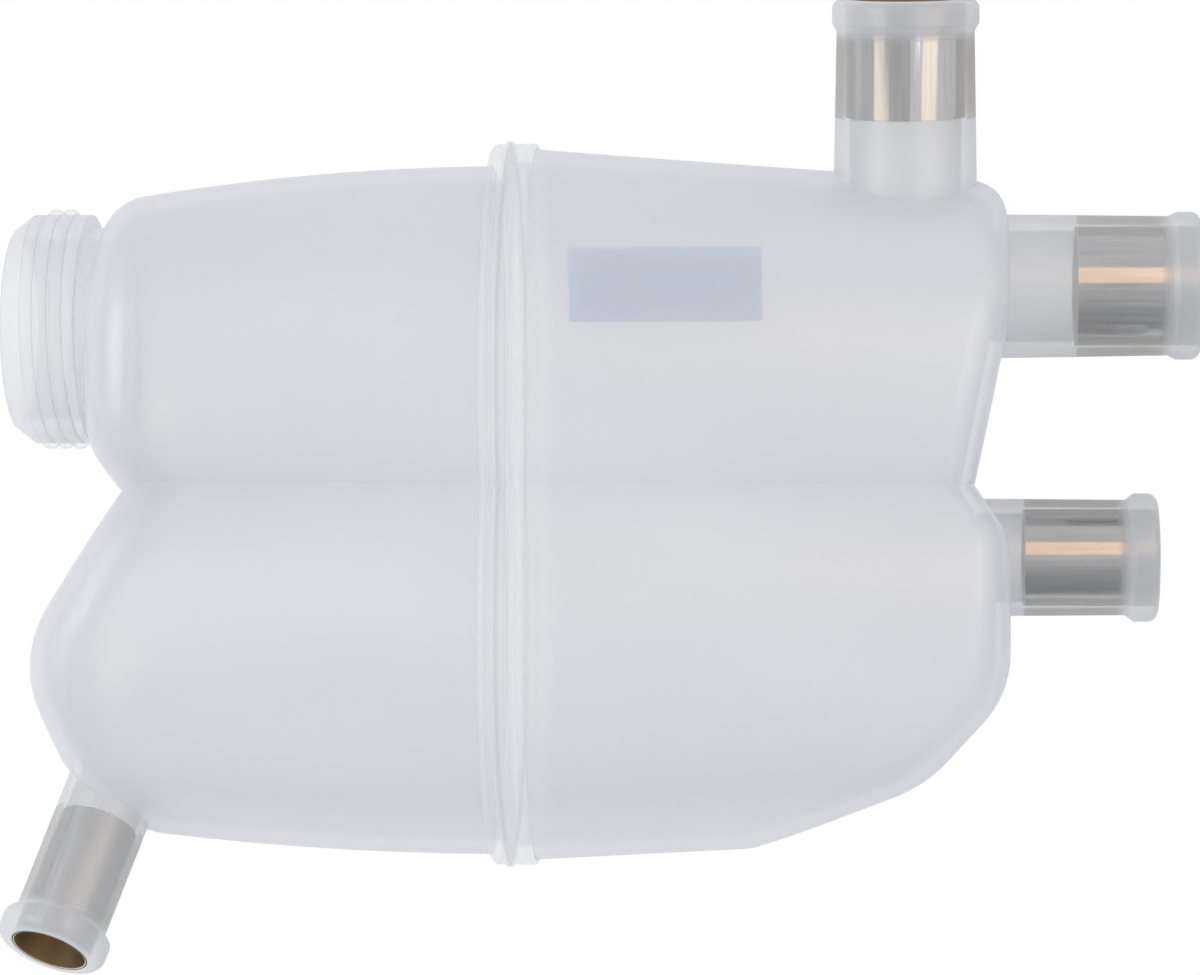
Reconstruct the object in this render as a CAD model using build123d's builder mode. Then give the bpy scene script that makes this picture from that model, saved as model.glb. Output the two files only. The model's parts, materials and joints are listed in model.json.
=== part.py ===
from build123d import *
from math import cos, radians, sin, tan
from typing import NamedTuple
import os

# Coolant expansion tank: two moulded half shells of natural polypropylene, welded at a raised band.
# The origin is the middle of the filler mouth. +Z runs up out of the neck, +X is the side nozzle's
# way, and the front is the -Y side. Sizes are in millimetres and degrees.

# Mouldings: wall, rounding of each half's end, and room past the solids for cutting shapes
wall = 3.0
upper_end_rounding = 10.5
lower_end_rounding = 8.0
crown_margin = 5.0
clear_of_body = 80.0

# Weld section: each lobe is an ellipse, given by its middle on X and its half sizes on X and Y
filler_lobe_x = -11.3
filler_half_width = 51.0
filler_half_depth = 42.0
vent_lobe_x = -64.0
vent_half_width = 53.2
vent_half_depth = 45.0

# Weld band, which stands out past the lower half, with a roll of flash on each side of the joint
upper_band_height = 4.0
lower_band_height = 6.0
band_lip = 0.8
upper_band_rounding = 2.0
lower_band_rounding = 0.7
band_valley_rounding = 4.0
flash_height = 0.7
flash_lip = 0.5
flash_rounding = 0.4

# Upper half: how far its lobes step in from the weld section, and their draft along X and Y
upper_filler_step = (4.1, 2.5)
upper_filler_mid_share = 0.55
upper_filler_mid_draft = (2.3, 1.5)
upper_filler_end_draft = (8.7, 5.5)
upper_filler_height = 90.0
upper_filler_shoulder_x = -25.8
upper_filler_fall = 35.3
upper_filler_bend = 16.0

upper_vent_step = (1.5, 2.5)
upper_vent_mid_share = 0.46
upper_vent_mid_draft = (1.5, 1.5)
upper_vent_end_draft = (8.7, 6.5)
upper_vent_height = 104.4
upper_vent_peak_x = -71.5
upper_vent_roof_fall = 31.7
upper_vent_brow_x = -96.0
upper_vent_brow_fall = 20.0
upper_vent_cheek_fall = 45.0
upper_vent_peak_bend = 25.0
upper_vent_brow_bend = 20.0

# Lower half, whose vent lobe ends a little above its filler lobe
lower_end_step = 0.3
lower_filler_mid_share = 0.51
lower_filler_mid_draft = (4.4, 2.0)
lower_filler_end_draft = (8.6, 5.0)
lower_filler_height = 108.5
lower_filler_shoulder_x = 3.0
lower_filler_fall = 11.5
lower_filler_bend = 20.0

lower_vent_mid_share = 0.46
lower_vent_mid_draft = (2.8, 1.5)
lower_vent_end_draft = (6.2, 5.0)
lower_vent_height = lower_filler_height - lower_end_step
lower_vent_inner_x = -46.0
lower_vent_inner_fall = 33.0
lower_vent_outer_x = -78.5
lower_vent_brow_x = -98.5
lower_vent_brow_fall = 41.5
lower_vent_cheek_fall = 67.5
lower_vent_inner_bend = 12.0
lower_vent_outer_bend = 22.0
lower_vent_brow_bend = 30.0

# Filler neck, plain at the root of its thread, with a tapered lip
neck_height = 19.4
neck_bore_radius = 20.0
neck_root_radius = 22.4
neck_root_height = 3.0
neck_thread_radius = 25.3
neck_lip_radius = 22.2
neck_lip_height = 4.0
neck_mouth_chamfer = 0.8

# Nozzles: the bead behind each mouth, and the fit of the metal sleeve in its seat
bead_length = 7.0
bead_ramp = 1.8
bead_bend = 1.0
mouth_rounding = 2.2
sleeve_clearance = 0.05
sleeve_rim_rounding = 0.3

# Side nozzle, across the lower filler lobe and turned a little to the front
side_below_weld = 86.4
side_tilt = 10.0
side_start = 33.0
side_length = 38.6
side_root_depth = 9.0
side_radius = 15.7
side_draft = 0.8
side_bead = 1.0
side_seat_radius = 13.0
side_sleeve_wall = 0.9
side_sleeve_length = 25.5

# Large bottom nozzle, under the lower filler lobe
large_x = 8.9
large_length = 42.0
large_root_depth = 6.0
large_radius = 15.8
large_draft = 0.6
large_bead = 0.9
large_seat_radius = 13.0
large_sleeve_wall = 0.9
large_sleeve_length = 27.0

# Small bottom nozzle, under the lower vent lobe
small_x = -50.4
small_length = 33.0
small_root_depth = 10.0
small_radius = 12.9
small_draft = 0.3
small_bead = 1.4
small_seat_radius = 10.6
small_sleeve_wall = 0.9
small_sleeve_length = 29.0

# Vent nozzle: its mouth, with the height given from the weld, and the way that it faces
vent_mouth_x = -134.4
vent_mouth_y = -30.0
vent_mouth_above_weld = 97.0
vent_way = (-0.82, -0.50, 0.25)
vent_length = 36.0
vent_root_depth = 14.0
vent_radius = 10.2
vent_draft = 0.2
vent_bead = 2.0
vent_seat_radius = 8.6
vent_sleeve_wall = 0.6
vent_sleeve_length = 31.0

# Label on the back of the lower filler lobe
label_thickness = 0.3
label_width = 16.6
label_height = 44.4
label_x = 11.3
label_below_weld = 10.0

weld_z = -neck_height - upper_filler_height
upper_half = Plane((0, 0, weld_z), x_dir=(1, 0, 0), z_dir=(0, 0, 1))
lower_half = Plane((0, 0, weld_z), x_dir=(1, 0, 0), z_dir=(0, 0, -1))


class Nozzle(NamedTuple):
    """A hose nozzle: where it leaves the tank, facing out along it, and its sizes."""
    root: Plane
    length: float
    root_depth: float
    radius: float
    draft: float
    bead: float
    seat_radius: float
    sleeve_wall: float
    sleeve_length: float


def side_view(half):
    """Plane of symmetry of a half, with its X along X and its Y away from the weld."""
    return Plane(half.origin, x_dir=half.x_dir, z_dir=-half.y_dir)


def downhill(corner, fall, run):
    """Point reached from a crown's corner by a run along X that falls at an angle."""
    return corner[0] + run, corner[1] - abs(run) * tan(radians(fall))


def lobe(half, middle, sections, crown, bends, rounding, inset):
    """Barrel through elliptical sections, closed by a crown and rounded where the two meet."""
    with BuildPart() as body:
        for level, half_width, half_depth in sections:
            with BuildSketch(half.offset(level)):
                with Locations((middle, 0)):
                    Ellipse(half_width - inset, half_depth - inset)
        loft()
        with BuildSketch(side_view(half)):
            with BuildLine():
                roof = FilletPolyline(*crown, radius=bends)
                Polyline(roof @ 1, (crown[-1][0], -clear_of_body), (crown[0][0], -clear_of_body), roof @ 0)
            make_face()
            offset(amount=-inset)
        extrude(amount=clear_of_body, both=True, mode=Mode.INTERSECT)
        fillet(edges(Select.NEW).filter_by(Axis.Y, reverse=True), radius=rounding - inset)
    return body.part


def drafted(half_width, half_depth, mid_share, mid_draft, height, end_draft):
    """Sections of a barrel at the weld, part way and past its crown."""
    return [
        (0, half_width, half_depth),
        (mid_share * height, half_width - mid_draft[0], half_depth - mid_draft[1]),
        (height + crown_margin, half_width - end_draft[0], half_depth - end_draft[1]),
    ]


def upper_filler_lobe(inset):
    shoulder = (upper_filler_shoulder_x, upper_filler_height)
    past_filler = (clear_of_body, upper_filler_height)
    past_valley = downhill(shoulder, upper_filler_fall, vent_lobe_x - upper_filler_shoulder_x)
    sections = drafted(
        filler_half_width - upper_filler_step[0], filler_half_depth - upper_filler_step[1],
        upper_filler_mid_share, upper_filler_mid_draft, upper_filler_height, upper_filler_end_draft)
    return lobe(upper_half, filler_lobe_x, sections, [past_filler, shoulder, past_valley],
                [upper_filler_bend], upper_end_rounding, inset)


def upper_vent_lobe(inset):
    peak = (upper_vent_peak_x, upper_vent_height)
    past_valley = downhill(peak, upper_vent_roof_fall, clear_of_body)
    brow = downhill(peak, upper_vent_brow_fall, upper_vent_brow_x - upper_vent_peak_x)
    past_vent = downhill(brow, upper_vent_cheek_fall, -vent_half_width)
    sections = drafted(
        vent_half_width - upper_vent_step[0], vent_half_depth - upper_vent_step[1],
        upper_vent_mid_share, upper_vent_mid_draft, upper_vent_height, upper_vent_end_draft)
    return lobe(upper_half, vent_lobe_x, sections, [past_valley, peak, brow, past_vent],
                [upper_vent_peak_bend, upper_vent_brow_bend], upper_end_rounding, inset)


def lower_filler_lobe(inset):
    shoulder = (lower_filler_shoulder_x, lower_filler_height)
    past_filler = (clear_of_body, lower_filler_height)
    past_valley = downhill(shoulder, lower_filler_fall, -clear_of_body)
    sections = drafted(
        filler_half_width, filler_half_depth,
        lower_filler_mid_share, lower_filler_mid_draft, lower_filler_height, lower_filler_end_draft)
    return lobe(lower_half, filler_lobe_x, sections, [past_filler, shoulder, past_valley],
                [lower_filler_bend], lower_end_rounding, inset)


def lower_vent_lobe(inset):
    inner = (lower_vent_inner_x, lower_vent_height)
    outer = (lower_vent_outer_x, lower_vent_height)
    past_valley = downhill(inner, lower_vent_inner_fall, vent_half_width)
    brow = downhill(outer, lower_vent_brow_fall, lower_vent_brow_x - lower_vent_outer_x)
    past_vent = downhill(brow, lower_vent_cheek_fall, vent_lobe_x - vent_half_width - lower_vent_brow_x)
    sections = drafted(
        vent_half_width, vent_half_depth,
        lower_vent_mid_share, lower_vent_mid_draft, lower_vent_height, lower_vent_end_draft)
    return lobe(lower_half, vent_lobe_x, sections, [past_valley, inner, outer, brow, past_vent],
                [lower_vent_inner_bend, lower_vent_outer_bend, lower_vent_brow_bend],
                lower_end_rounding, inset)


def weld_ring(half, lip, height, rounding):
    """Plate with the weld section's outline, wider by a lip and rounded on its rim."""
    with BuildPart() as ring:
        with BuildSketch(half):
            with Locations((filler_lobe_x, 0)):
                Ellipse(filler_half_width + lip, filler_half_depth + lip)
            with Locations((vent_lobe_x, 0)):
                Ellipse(vent_half_width + lip, vent_half_depth + lip)
            fillet(vertices(), radius=band_valley_rounding)
        extrude(amount=height)
        fillet(faces().sort_by(Axis(half.origin, half.z_dir))[-1].edges(), radius=rounding)
    return ring.part


def nozzle_outside(nozzle):
    """Plastic of a nozzle, with a bead behind its mouth."""
    stem = (nozzle.radius - nozzle.draft, nozzle.length - bead_length)
    crest = (stem[0] + nozzle.bead, stem[1] + bead_ramp)
    with BuildPart() as spout:
        with BuildSketch(side_view(nozzle.root)):
            with BuildLine():
                outside = FilletPolyline(
                    (nozzle.radius, -nozzle.root_depth), stem, crest,
                    (crest[0], nozzle.length), (0, nozzle.length),
                    radius=[bead_bend, bead_bend, mouth_rounding])
                Polyline(outside @ 1, (0, -nozzle.root_depth), outside @ 0)
            make_face()
        revolve(axis=Axis(nozzle.root.origin, nozzle.root.z_dir))
    return spout.part


def nozzle_passage(nozzle):
    """Way through a nozzle: the sleeve's seat, then a bore as wide as the sleeve's own."""
    bore = nozzle.seat_radius - nozzle.sleeve_wall
    seat = nozzle.length - nozzle.sleeve_length
    with BuildPart() as hollow:
        with BuildSketch(side_view(nozzle.root)):
            with BuildLine():
                Polyline((0, nozzle.length), (nozzle.seat_radius, nozzle.length),
                         (nozzle.seat_radius, seat), (bore, seat),
                         (bore, -nozzle.root_depth), (0, -nozzle.root_depth), close=True)
            make_face()
        revolve(axis=Axis(nozzle.root.origin, nozzle.root.z_dir))
    return hollow.part


def nozzle_sleeve(nozzle):
    """Metal tube in a nozzle's seat, level with its mouth and against the seat's shoulder."""
    with BuildPart() as tube:
        with BuildSketch(nozzle.root.offset(nozzle.length - nozzle.sleeve_length)):
            Circle(nozzle.seat_radius - sleeve_clearance)
            Circle(nozzle.seat_radius - nozzle.sleeve_wall, mode=Mode.SUBTRACT)
        extrude(amount=nozzle.sleeve_length)
        mouth = faces().sort_by(Axis(nozzle.root.origin, nozzle.root.z_dir))[-1]
        fillet(mouth.inner_wires().edges(), radius=sleeve_rim_rounding)
    return tube.part


side_direction = (cos(radians(side_tilt)), -sin(radians(side_tilt)), 0)
side_nozzle = Nozzle(
    Plane((side_start * side_direction[0], side_start * side_direction[1], weld_z - side_below_weld),
          x_dir=(0, 0, 1), z_dir=side_direction),
    side_length, side_root_depth, side_radius, side_draft, side_bead,
    side_seat_radius, side_sleeve_wall, side_sleeve_length)
large_nozzle = Nozzle(
    Plane((large_x, 0, weld_z - lower_filler_height), x_dir=(1, 0, 0), z_dir=(0, 0, -1)),
    large_length, large_root_depth, large_radius, large_draft, large_bead,
    large_seat_radius, large_sleeve_wall, large_sleeve_length)
small_nozzle = Nozzle(
    Plane((small_x, 0, weld_z - lower_vent_height), x_dir=(1, 0, 0), z_dir=(0, 0, -1)),
    small_length, small_root_depth, small_radius, small_draft, small_bead,
    small_seat_radius, small_sleeve_wall, small_sleeve_length)
vent_nozzle = Nozzle(
    Plane((vent_mouth_x, vent_mouth_y, weld_z + vent_mouth_above_weld), z_dir=vent_way).offset(-vent_length),
    vent_length, vent_root_depth, vent_radius, vent_draft, vent_bead,
    vent_seat_radius, vent_sleeve_wall, vent_sleeve_length)

# Upper shell, with the filler neck and the vent nozzle
with BuildPart() as upper_shell:
    add(upper_filler_lobe(0))
    add(upper_vent_lobe(0))
    add(weld_ring(upper_half, band_lip, upper_band_height, upper_band_rounding))
    add(weld_ring(upper_half, band_lip + flash_lip, flash_height, flash_rounding))
    with BuildSketch(Plane.XZ):
        with BuildLine():
            Polyline((0, 0), (neck_lip_radius, 0), (neck_thread_radius, -neck_lip_height),
                     (neck_thread_radius, neck_root_height - neck_height),
                     (neck_root_radius, neck_root_height - neck_height),
                     (neck_root_radius, -neck_height - wall), (0, -neck_height - wall), close=True)
        make_face()
    revolve(axis=Axis.Z)
    add(nozzle_outside(vent_nozzle))
    add(upper_filler_lobe(wall), mode=Mode.SUBTRACT)
    add(upper_vent_lobe(wall), mode=Mode.SUBTRACT)
    with BuildSketch(Plane.XZ):
        with BuildLine():
            Polyline((0, 0), (neck_bore_radius + neck_mouth_chamfer, 0),
                     (neck_bore_radius, -neck_mouth_chamfer),
                     (neck_bore_radius, -neck_height - 2 * wall), (0, -neck_height - 2 * wall), close=True)
        make_face()
    revolve(axis=Axis.Z, mode=Mode.SUBTRACT)
    add(nozzle_passage(vent_nozzle), mode=Mode.SUBTRACT)

# Lower shell, with the side nozzle and the two bottom nozzles
with BuildPart() as lower_shell:
    add(lower_filler_lobe(0))
    add(lower_vent_lobe(0))
    add(weld_ring(lower_half, band_lip, lower_band_height, lower_band_rounding))
    add(weld_ring(lower_half, band_lip + flash_lip, flash_height, flash_rounding))
    add(nozzle_outside(side_nozzle))
    add(nozzle_outside(large_nozzle))
    add(nozzle_outside(small_nozzle))
    add(lower_filler_lobe(wall), mode=Mode.SUBTRACT)
    add(lower_vent_lobe(wall), mode=Mode.SUBTRACT)
    add(nozzle_passage(side_nozzle), mode=Mode.SUBTRACT)
    add(nozzle_passage(large_nozzle), mode=Mode.SUBTRACT)
    add(nozzle_passage(small_nozzle), mode=Mode.SUBTRACT)

# Metal sleeves, one in each nozzle
with BuildPart() as side_nozzle_sleeve:
    add(nozzle_sleeve(side_nozzle))

with BuildPart() as large_bottom_nozzle_sleeve:
    add(nozzle_sleeve(large_nozzle))

with BuildPart() as small_bottom_nozzle_sleeve:
    add(nozzle_sleeve(small_nozzle))

with BuildPart() as vent_nozzle_sleeve:
    add(nozzle_sleeve(vent_nozzle))

# Label, which follows the back of the lower filler lobe
with BuildPart() as rear_label:
    add(lower_filler_lobe(-label_thickness))
    with BuildSketch(Plane.XZ):
        with Locations((label_x, weld_z - label_below_weld - label_height / 2)):
            Rectangle(label_width, label_height)
    extrude(amount=-clear_of_body, mode=Mode.INTERSECT)
    add(lower_filler_lobe(0), mode=Mode.SUBTRACT)

upper_shell.part.label = "upper_shell"
lower_shell.part.label = "lower_shell"
side_nozzle_sleeve.part.label = "side_nozzle_sleeve"
large_bottom_nozzle_sleeve.part.label = "large_bottom_nozzle_sleeve"
small_bottom_nozzle_sleeve.part.label = "small_bottom_nozzle_sleeve"
vent_nozzle_sleeve.part.label = "vent_nozzle_sleeve"
rear_label.part.label = "rear_label"

os.makedirs("parts", exist_ok=True)
export_step(upper_shell.part, "parts/upper_shell.step")
export_step(lower_shell.part, "parts/lower_shell.step")
export_step(side_nozzle_sleeve.part, "parts/side_nozzle_sleeve.step")
export_step(large_bottom_nozzle_sleeve.part, "parts/large_bottom_nozzle_sleeve.step")
export_step(small_bottom_nozzle_sleeve.part, "parts/small_bottom_nozzle_sleeve.step")
export_step(vent_nozzle_sleeve.part, "parts/vent_nozzle_sleeve.step")
export_step(rear_label.part, "parts/rear_label.step")
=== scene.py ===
import json
from collections import namedtuple
from math import cos, pi, radians, sin

import bmesh
import bpy
from mathutils import Matrix, Vector


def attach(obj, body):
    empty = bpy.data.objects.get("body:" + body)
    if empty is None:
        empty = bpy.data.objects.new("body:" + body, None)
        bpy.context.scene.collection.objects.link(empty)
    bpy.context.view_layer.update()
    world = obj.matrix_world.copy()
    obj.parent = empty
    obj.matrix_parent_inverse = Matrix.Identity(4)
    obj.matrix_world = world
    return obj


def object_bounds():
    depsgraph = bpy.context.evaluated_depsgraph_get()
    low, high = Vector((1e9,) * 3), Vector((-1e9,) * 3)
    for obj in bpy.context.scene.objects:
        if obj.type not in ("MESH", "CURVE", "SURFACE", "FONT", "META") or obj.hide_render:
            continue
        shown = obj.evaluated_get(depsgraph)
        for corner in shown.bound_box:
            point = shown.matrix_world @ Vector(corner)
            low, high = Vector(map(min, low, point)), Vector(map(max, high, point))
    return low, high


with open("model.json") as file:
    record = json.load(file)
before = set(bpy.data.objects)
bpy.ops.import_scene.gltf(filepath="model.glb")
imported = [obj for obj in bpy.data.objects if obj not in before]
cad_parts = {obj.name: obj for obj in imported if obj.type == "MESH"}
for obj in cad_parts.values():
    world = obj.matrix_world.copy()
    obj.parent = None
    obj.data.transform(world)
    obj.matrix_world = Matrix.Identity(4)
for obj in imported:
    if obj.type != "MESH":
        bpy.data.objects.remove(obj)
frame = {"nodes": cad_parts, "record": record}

cad_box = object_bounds()
scene = bpy.context.scene
scene.view_settings.view_transform = "Standard"
# Light that has crossed the tank a few times adds little more
scene.cycles.max_bounces = 5
scene.cycles.diffuse_bounces = 2
MM = 0.001


def linear(hex_colour):
    """sRGB hex to linear RGBA."""
    shares = [int(hex_colour[i:i + 2], 16) / 255 for i in (1, 3, 5)]
    return [s / 12.92 if s <= 0.04045 else ((s + 0.055) / 1.055) ** 2.4 for s in shares] + [1.0]


WHITE = linear("#FFFFFF")
# Sockets of a Mix node: its share, its two values, its two colours, and the mixed colour
SHARE, VALUE_A, VALUE_B, COLOUR_A, COLOUR_B, MIXED = 0, 2, 3, 6, 7, 2
# Most of a noise lies between these
NOISE_LOW, NOISE_HIGH = 0.3, 0.7


def add(tree, kind, sockets, **settings):
    """A node with its settings; a socket takes a value, a node's first output or a given output."""
    made = tree.nodes.new(kind)
    for name, value in settings.items():
        setattr(made, name, value)
    for name, value in sockets.items():
        if isinstance(value, bpy.types.Node):
            tree.links.new(value.outputs[0], made.inputs[name])
        elif isinstance(value, bpy.types.NodeSocket):
            tree.links.new(value, made.inputs[name])
        else:
            made.inputs[name].default_value = value
    return made


def new_material(name):
    """An empty material and its nodes."""
    material = bpy.data.materials.new(name)
    material.use_nodes = True
    material.node_tree.nodes.clear()
    return material, material.node_tree


# The mounts give each nozzle's mouth and outward way. Here are its sleeve's radius, wall and length and its
# bead's radius, in mm, how rough the sleeve's plate is, and how clearly it shows through the wall.
Nozzle = namedtuple("Nozzle", "sleeve_radius sleeve_wall sleeve_length bead_radius roughness shows")
NOZZLES = {
    "side_nozzle": Nozzle(13.0, 0.9, 25.5, 16.7, 0.08, 1.6),
    "large_bottom_nozzle": Nozzle(13.0, 0.9, 27.0, 16.7, 0.08, 1.6),
    "small_bottom_nozzle": Nozzle(10.6, 0.9, 29.0, 14.3, 0.08, 1.6),
    "vent_nozzle": Nozzle(8.6, 0.6, 31.0, 12.4, 0.29, 0.85),
}
NOZZLES_ON = {
    "upper_shell": ["vent_nozzle"],
    "lower_shell": ["side_nozzle", "large_bottom_nozzle", "small_bottom_nozzle"],
}
MOUNTS = {mount["name"]: mount for mount in frame["record"]["mounts"]}
# Middle and half the height of the weld band, in mm
BAND_MIDDLE, BAND_HALF = -110.4, 5.0
# Share of the light that goes straight through a wall, and through the thread
SHELL_CLEARNESS, THREAD_CLEARNESS = 0.58, 0.83


def reach_and_depth(tree, place, nozzle_name):
    """How far a point is from a nozzle's axis, and from its mouth along the axis, less than 0 inwards."""
    mouth = MOUNTS[nozzle_name]["pos_m"]
    outward = MOUNTS[nozzle_name]["axis"]
    inward = add(tree, "ShaderNodeVectorMath", {0: place, 1: mouth}, operation="SUBTRACT")
    aside = add(tree, "ShaderNodeVectorMath", {0: inward, 1: outward}, operation="CROSS_PRODUCT")
    reach = add(tree, "ShaderNodeVectorMath", {0: aside}, operation="LENGTH")
    depth = add(tree, "ShaderNodeVectorMath", {0: inward, 1: outward}, operation="DOT_PRODUCT")
    return reach.outputs["Value"], depth.outputs["Value"]


# Metal that lies on a nozzle's wall shows through it more clearly than what is further behind, and the thick
# bead is milkier than the wall
def metal_on_wall(tree, place, nozzle_names):
    bead_foot, bead_crown = -9 * MM, -6 * MM
    bead_milk = -0.35
    fade = 1 * MM
    metal = 0.0
    for name in nozzle_names:
        nozzle = NOZZLES[name]
        reach, depth = reach_and_depth(tree, place, name)
        beside = add(tree, "ShaderNodeMath", {0: depth, 1: -nozzle.sleeve_length * MM},
                     operation="GREATER_THAN")
        along = add(tree, "ShaderNodeMapRange",
                    {"Value": depth, "From Min": bead_foot, "From Max": bead_crown,
                     "To Min": beside, "To Max": bead_milk})
        around = add(tree, "ShaderNodeMapRange",
                     {"Value": reach, "From Min": nozzle.sleeve_radius * MM,
                      "From Max": nozzle.bead_radius * MM + fade, "To Min": nozzle.shows, "To Max": 0.0})
        here = add(tree, "ShaderNodeMath", {0: around, 1: along}, operation="MULTIPLY")
        metal = add(tree, "ShaderNodeMath", {0: metal, 1: here}, operation="ADD")
    return metal


# Natural polypropylene, injection moulded. It has no pigment, so it is milky: a wall lets about half of the
# light straight through, less where it is seen at a slant, and scatters the rest. The mould leaves a soft
# gloss and faint clouds, drawn out along the flow.
def natural_polypropylene(name, clearness, nozzle_names):
    cloud_size = 22 * MM
    cloud_stretch = (1.0, 1.0, 0.35)
    least_cosine, band_cosine = 0.12, 0.45
    neck_foot, neck_start = -22 * MM, -16 * MM
    neck_gain = 0.1
    streak_width = 1.3 * MM
    streak_low, streak_high = 0.1, 0.24
    metal_gain = 0.28
    edge_start, edge_end, edge_share = 0.42, 0.54, 0.8
    glow_share = 0.45

    material, tree = new_material(name)
    place = add(tree, "ShaderNodeTexCoord", {}).outputs["Object"]
    flow = add(tree, "ShaderNodeMapping", {"Vector": place, "Scale": cloud_stretch})
    clouds = add(tree, "ShaderNodeTexNoise", {"Vector": flow, "Scale": 1 / cloud_size, "Detail": 0.0})
    tone = add(tree, "ShaderNodeMix",
               {SHARE: clouds, COLOUR_A: linear("#EAECF0"), COLOUR_B: linear("#F1F3F7")}, data_type="RGBA")
    rough = add(tree, "ShaderNodeMapRange",
                {"Value": clouds, "From Min": NOISE_LOW, "From Max": NOISE_HIGH,
                 "To Min": 0.29, "To Max": 0.38})
    height = add(tree, "ShaderNodeSeparateXYZ", {0: place}).outputs["Z"]
    band = add(tree, "ShaderNodeMath", {0: height, 1: BAND_MIDDLE * MM, 2: BAND_HALF * MM},
               operation="COMPARE")

    # The way through the wall grows as one over the cosine of the slant, and less so through the fine forms
    # of the weld band
    facing = add(tree, "ShaderNodeLayerWeight", {"Blend": 0.5}).outputs["Facing"]
    cosine = add(tree, "ShaderNodeMath", {0: 1.0, 1: facing}, operation="SUBTRACT")
    least = add(tree, "ShaderNodeMath", {0: band, 1: band_cosine, 2: least_cosine}, operation="MULTIPLY_ADD")
    held_cosine = add(tree, "ShaderNodeMath", {0: cosine, 1: least}, operation="MAXIMUM")
    way = add(tree, "ShaderNodeMath", {0: 1.0, 1: held_cosine}, operation="DIVIDE")

    # The neck is a little clearer, and so is the weld band, which was melted and has streaks along it
    neck = add(tree, "ShaderNodeMapRange",
               {"Value": height, "From Min": neck_foot, "From Max": neck_start,
                "To Min": clearness, "To Max": clearness + neck_gain})
    streaks = add(tree, "ShaderNodeMath", {0: height, 1: streak_width}, operation="PINGPONG")
    paler = add(tree, "ShaderNodeMapRange",
                {"Value": streaks, "From Max": streak_width, "To Min": streak_low, "To Max": streak_high})
    base = add(tree, "ShaderNodeMath", {0: band, 1: paler, 2: neck}, operation="MULTIPLY_ADD")
    metal = metal_on_wall(tree, place, nozzle_names)
    through = add(tree, "ShaderNodeMath", {0: metal, 1: metal_gain, 2: base}, operation="MULTIPLY_ADD")
    passed = add(tree, "ShaderNodeMath", {0: through, 1: way}, operation="POWER")

    # A round wall spreads the image of the metal inside it to its edges; that image is painted in here, as
    # grey mixed into the wall's colour towards its edges
    edge = add(tree, "ShaderNodeMapRange",
               {"Value": facing, "From Min": edge_start, "From Max": edge_end, "To Max": edge_share})
    painted_metal_image = add(tree, "ShaderNodeMath", {0: edge, 1: metal}, operation="MULTIPLY", use_clamp=True)
    kept = add(tree, "ShaderNodeMath", {0: 1.0, 1: painted_metal_image}, operation="SUBTRACT")
    shown = add(tree, "ShaderNodeMath", {0: passed, 1: kept}, operation="MULTIPLY")
    colour = add(tree, "ShaderNodeMix",
                 {SHARE: painted_metal_image, COLOUR_A: tone.outputs[MIXED], COLOUR_B: linear("#B5B3AE")},
                 data_type="RGBA").outputs[MIXED]

    # Both faces of the wall reflect, so the gloss is stronger than one face gives
    skin = add(tree, "ShaderNodeBsdfPrincipled",
               {"Base Color": colour, "Roughness": rough, "IOR": 1.8, "Specular IOR Level": 1.0})
    glow = add(tree, "ShaderNodeBsdfTranslucent", {"Color": colour})
    milk = add(tree, "ShaderNodeMixShader", {0: glow_share, 1: skin, 2: glow})
    clear = add(tree, "ShaderNodeBsdfTransparent", {"Color": WHITE})
    body = add(tree, "ShaderNodeMixShader", {0: shown, 1: milk, 2: clear})
    add(tree, "ShaderNodeOutputMaterial", {"Surface": body})
    return material
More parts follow.
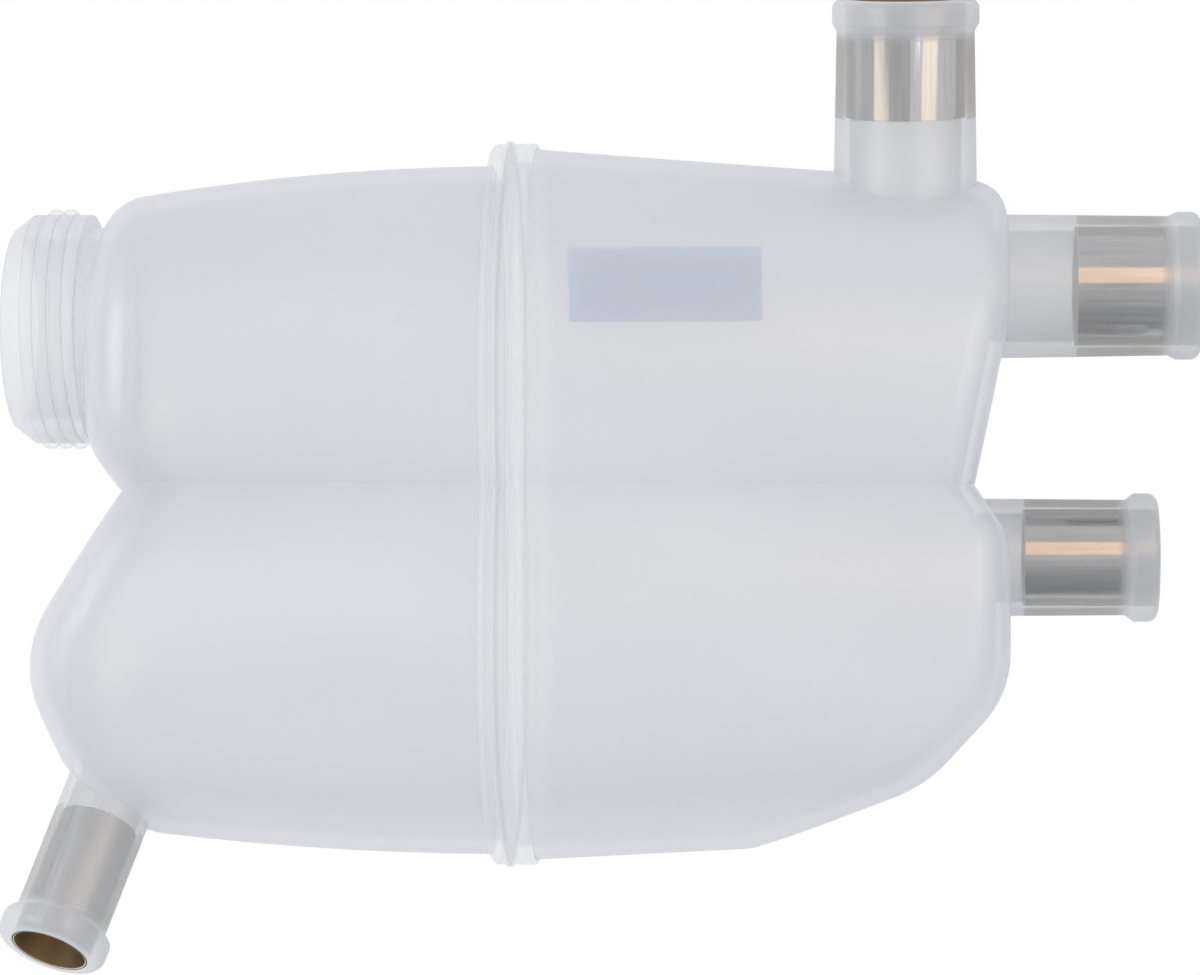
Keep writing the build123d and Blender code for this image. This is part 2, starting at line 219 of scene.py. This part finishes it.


# Steel tube, drawn, bright nickel plate outside with fine lines along the tube, dull and brownish inside.
# The cut rim at its mouth carries a painted highlight, pale and not metal, and a painted shadow line where
# it meets the plastic.
def plated_steel(nozzle_name):
    nozzle = NOZZLES[nozzle_name]
    bore_radius = (nozzle.sleeve_radius - nozzle.sleeve_wall) * MM
    bore_skin = 0.1 * MM
    painted_highlight_width = 0.4 * nozzle.sleeve_wall * MM
    rim_depth = 0.4 * MM
    line_width = 0.9 * MM
    line_stretch = (1.0, 1.0, 0.03)
    bore_roughness = 0.6

    material, tree = new_material("plated_steel_" + nozzle_name)
    place = add(tree, "ShaderNodeTexCoord", {}).outputs["Object"]
    turn = Vector(MOUNTS[nozzle_name]["axis"]).to_track_quat("Z", "Y").inverted().to_euler()
    tube = add(tree, "ShaderNodeMapping", {"Vector": place, "Rotation": turn})
    drawn = add(tree, "ShaderNodeMapping", {"Vector": tube, "Scale": line_stretch})
    lines = add(tree, "ShaderNodeTexNoise", {"Vector": drawn, "Scale": 1 / line_width, "Detail": 2.0})
    plate = add(tree, "ShaderNodeMix",
                {SHARE: lines, COLOUR_A: linear("#A6A7A9"), COLOUR_B: linear("#C9C8C7")}, data_type="RGBA")

    reach, depth = reach_and_depth(tree, place, nozzle_name)
    inside = add(tree, "ShaderNodeMath", {0: reach, 1: bore_radius + bore_skin}, operation="LESS_THAN")
    at_mouth = add(tree, "ShaderNodeMath", {0: depth, 1: -rim_depth}, operation="GREATER_THAN")
    painted_rim = add(tree, "ShaderNodeMath", {0: at_mouth, 1: inside}, operation="SUBTRACT", use_clamp=True)
    # The rim's inner ring is a painted highlight, and its outer ring a painted shadow line
    painted_shadow_line = add(tree, "ShaderNodeMath", {0: reach, 1: bore_radius + painted_highlight_width}, operation="GREATER_THAN")
    painted_highlight_and_shadow = add(tree, "ShaderNodeMix",
              {SHARE: painted_shadow_line, COLOUR_A: linear("#EFE8DC"), COLOUR_B: linear("#17131B")}, data_type="RGBA")
    bored = add(tree, "ShaderNodeMix",
                {SHARE: inside, COLOUR_A: plate.outputs[MIXED], COLOUR_B: linear("#8D7B5F")},
                data_type="RGBA")
    tone = add(tree, "ShaderNodeMix",
               {SHARE: painted_rim, COLOUR_A: bored.outputs[MIXED], COLOUR_B: painted_highlight_and_shadow.outputs[MIXED]}, data_type="RGBA")

    bright = add(tree, "ShaderNodeMapRange",
                 {"Value": lines, "From Min": NOISE_LOW, "From Max": NOISE_HIGH,
                  "To Min": nozzle.roughness, "To Max": 2 * nozzle.roughness})
    rough = add(tree, "ShaderNodeMix", {SHARE: inside, VALUE_A: bright, VALUE_B: bore_roughness})
    metallic = add(tree, "ShaderNodeMath", {0: 1.0, 1: painted_rim}, operation="SUBTRACT")
    metal = add(tree, "ShaderNodeBsdfPrincipled",
                {"Base Color": tone.outputs[MIXED], "Metallic": metallic, "Roughness": rough})
    add(tree, "ShaderNodeOutputMaterial", {"Surface": metal})
    return material


# Polyester film, printed, matt, thin enough for some light to pass, with a faint unevenness in its ink
def printed_film():
    ink_size = 4 * MM
    glow_share = 0.6
    material, tree = new_material("printed_film")
    place = add(tree, "ShaderNodeTexCoord", {}).outputs["Object"]
    ink = add(tree, "ShaderNodeTexNoise", {"Vector": place, "Scale": 1 / ink_size, "Detail": 2.0})
    tone = add(tree, "ShaderNodeMix",
               {SHARE: ink, COLOUR_A: linear("#9CD5FC"), COLOUR_B: linear("#AADCFF")},
               data_type="RGBA").outputs[MIXED]
    film = add(tree, "ShaderNodeBsdfPrincipled", {"Base Color": tone, "Roughness": 0.5})
    glow = add(tree, "ShaderNodeBsdfTranslucent", {"Color": tone})
    thin = add(tree, "ShaderNodeMixShader", {0: glow_share, 1: film, 2: glow})
    add(tree, "ShaderNodeOutputMaterial", {"Surface": thin})
    return material


def dress(node, material):
    """Gives a CAD node its material."""
    for slot in frame["nodes"][node].material_slots:
        slot.material = material


for shell, nozzle_names in NOZZLES_ON.items():
    dress(shell, natural_polypropylene("natural_polypropylene_" + shell, SHELL_CLEARNESS, nozzle_names))
for nozzle_name in NOZZLES:
    dress(nozzle_name + "_sleeve", plated_steel(nozzle_name))
dress("rear_label", printed_film())


# Thread moulded on the filler neck: one ridge that runs out at both ends, with its foot sunk in the neck
def filler_thread(material):
    root, crest = 25.2 * MM, 26.5 * MM
    shoulder = root + 0.65 * (crest - root)
    half_foot, half_shoulder, half_crest = 1.5 * MM, 1.05 * MM, 0.5 * MM
    lowest, pitch, turns = -15.0 * MM, 3.2 * MM, 3.0
    steps, run_out_steps = 288, 20
    least_height = 0.02

    form = bmesh.new()
    corners = [(root, -half_foot), (shoulder, -half_shoulder), (crest, -half_crest),
               (crest, half_crest), (shoulder, half_shoulder), (root, half_foot)]
    section = form.faces.new([form.verts.new((r, 0, lowest + z)) for r, z in corners])
    bmesh.ops.spin(form, geom=[section, *section.edges, *section.verts], cent=(0, 0, 0), axis=(0, 0, 1),
                   dvec=(0, 0, pitch * turns / steps), angle=2 * pi * turns, steps=steps)
    for index, vert in enumerate(form.verts):
        step = index // len(corners)
        run_out = min(1.0, step / run_out_steps, (steps - step) / run_out_steps)
        reach = vert.co.xy.length
        vert.co.xy *= (root + (reach - root) * max(run_out, least_height)) / reach
    bmesh.ops.recalc_face_normals(form, faces=form.faces)
    mesh = bpy.data.meshes.new("filler_thread")
    form.to_mesh(mesh)
    form.free()
    for face in mesh.polygons:
        face.use_smooth = True
    mesh.materials.append(material)
    thread = bpy.data.objects.new("filler_thread", mesh)
    scene.collection.objects.link(thread)
    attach(thread, "root")


filler_thread(natural_polypropylene("natural_polypropylene_thread", THREAD_CLEARNESS, []))


def turned(at, across, upwards, back):
    """Where a camera or a lamp stands, with its three axes along these ways."""
    return Matrix.Translation(at) @ Matrix((across, upwards, back)).transposed().to_4x4()


# Camera, level with the front and rolled so that the neck points left
view_middle = Vector((-35.1, 0, -128.9)) * MM
view_distance = 900 * MM
view_width = 264 * MM
view_yaw = radians(3.5)
ahead = Vector((0, cos(view_yaw), sin(view_yaw)))
up = Vector((1, 0, 0))
lens = bpy.data.cameras.new("photo_camera")
lens.lens = lens.sensor_width * view_distance / view_width
camera = bpy.data.objects.new("photo_camera", lens)
scene.collection.objects.link(camera)
camera.matrix_world = turned(view_middle - ahead * view_distance, ahead.cross(up), up, -ahead)
scene.camera = camera


# White floor, a little below the tank. What is seen of it is lifted towards white, and it keeps the shadow.
def white_floor():
    radius, sides = 1400 * MM, 96
    gap = 120 * MM
    lift = 0.31
    lowest = cad_box[0][2]

    material, tree = new_material("white_floor")
    path = add(tree, "ShaderNodeLightPath", {})
    seen = add(tree, "ShaderNodeMath", {0: path.outputs["Is Camera Ray"], 1: path.outputs["Is Glossy Ray"]},
               operation="MAXIMUM")
    shown = add(tree, "ShaderNodeMath", {0: seen, 1: path.outputs["Is Transmission Ray"]},
                operation="MAXIMUM")
    lifted = add(tree, "ShaderNodeMath", {0: shown, 1: lift}, operation="MULTIPLY")
    paint = add(tree, "ShaderNodeBsdfDiffuse", {"Color": linear("#D2D2D2")})
    extra = add(tree, "ShaderNodeEmission", {"Strength": lifted})
    both = add(tree, "ShaderNodeAddShader", {0: paint, 1: extra})
    add(tree, "ShaderNodeOutputMaterial", {"Surface": both})

    form = bmesh.new()
    bmesh.ops.create_circle(form, cap_ends=True, segments=sides, radius=radius,
                            matrix=Matrix.Translation((0, 0, lowest - gap)))
    mesh = bpy.data.meshes.new("floor")
    form.to_mesh(mesh)
    form.free()
    mesh.materials.append(material)
    floor = bpy.data.objects.new("floor", mesh)
    scene.collection.objects.link(floor)


white_floor()


# White surroundings. Their light is soft and a little stronger from above, and metal mirrors a dim room in
# front, darker to the vent side.
def white_studio():
    world = bpy.data.worlds.new("white_studio")
    scene.world = world
    world.use_nodes = True
    world.cycles.sampling_method = "NONE"
    tree = world.node_tree
    tree.nodes.clear()
    path = add(tree, "ShaderNodeLightPath", {})
    seen = add(tree, "ShaderNodeMath",
               {0: path.outputs["Is Camera Ray"], 1: path.outputs["Is Transmission Ray"]},
               operation="MAXIMUM")
    way = add(tree, "ShaderNodeTexCoord", {}).outputs["Generated"]
    axes = add(tree, "ShaderNodeSeparateXYZ", {0: way})
    behind = add(tree, "ShaderNodeMapRange", {"Value": axes.outputs["Y"], "From Min": 0.0, "From Max": 0.3})
    dim = add(tree, "ShaderNodeMapRange",
              {"Value": axes.outputs["X"], "From Min": -1.0, "From Max": 0.1, "To Min": 0.2, "To Max": 0.85})
    room = add(tree, "ShaderNodeMix", {SHARE: behind, COLOUR_A: dim, COLOUR_B: WHITE}, data_type="RGBA")
    soft = add(tree, "ShaderNodeMapRange",
               {"Value": axes.outputs["Z"], "From Min": -0.2, "From Max": 1.0,
                "To Min": 0.875, "To Max": 1.18})
    lit = add(tree, "ShaderNodeMix",
              {SHARE: path.outputs["Is Glossy Ray"], COLOUR_A: soft, COLOUR_B: room.outputs[MIXED]},
              data_type="RGBA")
    shown = add(tree, "ShaderNodeMix", {SHARE: seen, COLOUR_A: lit.outputs[MIXED], COLOUR_B: WHITE},
                data_type="RGBA")
    sky = add(tree, "ShaderNodeBackground", {"Color": shown.outputs[MIXED]})
    add(tree, "ShaderNodeOutputWorld", {"Surface": sky})


white_studio()


def softbox(name, at, size, watts, colour):
    """Soft lamp, turned to the tank, that only shows mirrored in the metal and in the plastic's gloss."""
    lamp = bpy.data.lights.new(name, "AREA")
    lamp.shape = "RECTANGLE"
    lamp.size, lamp.size_y = size
    lamp.energy = watts
    lamp.color = linear(colour)[:3]
    lamp.use_shadow = False
    holder = bpy.data.objects.new(name, lamp)
    scene.collection.objects.link(holder)
    back = (Vector(at) - view_middle).normalized()
    across = Vector((0, 0, 1)).cross(back).normalized()
    holder.matrix_world = turned(at, across, back.cross(across), back)
    holder.visible_diffuse = False
    holder.visible_camera = False


softbox("strip_softbox", at=(0.225, -0.666, -0.29), size=(0.37, 0.2), watts=0.28, colour="#FFB45A")
softbox("left_softbox", at=(0.225, -0.62, 0.55), size=(0.65, 0.2), watts=2.2, colour="#F6F7FF")
softbox("cuff_softbox", at=(-0.25, -0.62, 0.55), size=(0.26, 0.52), watts=0.6, colour="#FFEBCB")
softbox("right_softbox", at=(0.085, -0.33, -0.34), size=(0.23, 0.06), watts=0.12, colour="#F6F7FF")
softbox("low_softbox", at=(0.055, -0.124, -0.361), size=(0.25, 0.12), watts=0.12, colour="#FFE6C4")
